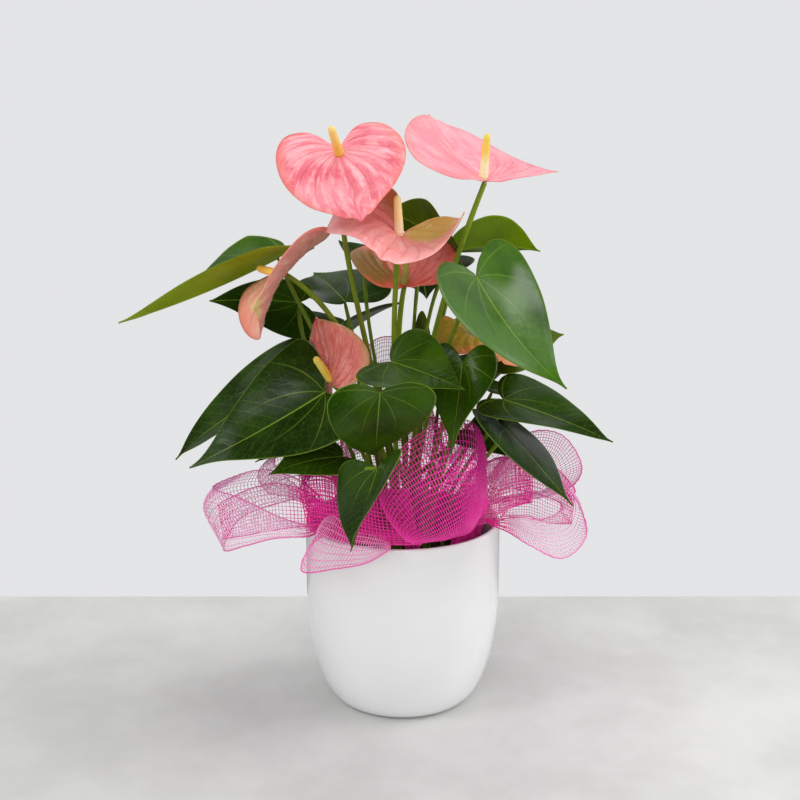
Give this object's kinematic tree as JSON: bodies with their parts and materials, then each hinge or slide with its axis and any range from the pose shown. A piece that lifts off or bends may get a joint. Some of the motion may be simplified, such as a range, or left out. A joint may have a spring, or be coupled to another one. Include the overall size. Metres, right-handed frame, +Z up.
{
  "type": "potted anthurium",
  "caption": "Potted anthurium with glossy heart-shaped leaves and pink spathes in a white glazed ceramic pot, wrapped in pink decorative mesh.",
  "frame": {"origin": "centre of the pot's flat foot, on the surface that it stands on", "axes": "+Z up along the pot's axis, -Y towards the side seen in the picture, +X to the right seen from there"},
  "size_m": [0.335, 0.3225, 0.4199],
  "materials": {
    "pot": "glossy white glaze",
    "nursery_pot": "matt",
    "soil": "matt, crumbly",
    "leaf": "semi-gloss",
    "spathe": "waxy",
    "spadix": "matt, finely bumpy",
    "stem": "satin",
    "deco_mesh": "satin"
  },
  "bodies": {
    "root": {"flower_01_spadix": "spadix", "flower_01_spathe": "spathe", "flower_01_stem": "stem", "flower_02_spadix": "spadix", "flower_02_spathe": "spathe", "flower_02_stem": "stem", "flower_03_spadix": "spadix", "flower_03_spathe": "spathe", "flower_03_stem": "stem", "flower_04_spadix": "spadix", "flower_04_spathe": "spathe", "flower_04_stem": "stem", "flower_05_spadix": "spadix", "flower_05_spathe": "spathe", "flower_05_stem": "stem", "flower_06_spadix": "spadix", "flower_06_spathe": "spathe", "flower_06_stem": "stem", "flower_07_spadix": "spadix", "flower_07_spathe": "spathe", "flower_07_stem": "stem", "leaf_01": "leaf", "leaf_02": "leaf", "leaf_03": "leaf", "leaf_04": "leaf", "leaf_05": "leaf", "leaf_06": "leaf", "leaf_07": "leaf", "leaf_08": "leaf", "leaf_09": "leaf", "leaf_10": "leaf", "leaf_11": "leaf", "leaf_12": "leaf", "leaf_13": "leaf", "leaf_14": "leaf", "leaf_15": "leaf", "leaf_16": "leaf", "leaf_17": "leaf", "leaf_18": "leaf", "leaf_19": "leaf", "leaf_20": "leaf", "leaf_21": "leaf", "leaf_22": "leaf", "leaf_23": "leaf", "leaf_24": "leaf", "mesh_loop_back": "deco_mesh", "mesh_loop_left": "deco_mesh", "mesh_loop_right": "deco_mesh", "mesh_loop_right_back": "deco_mesh", "mesh_puff_back": "deco_mesh", "mesh_puff_front": "deco_mesh", "mesh_puff_left_back": "deco_mesh", "mesh_swag_front": "deco_mesh", "nursery_pot": "nursery_pot", "pot": "pot", "soil": "soil"}
  },
  "joints": []
}
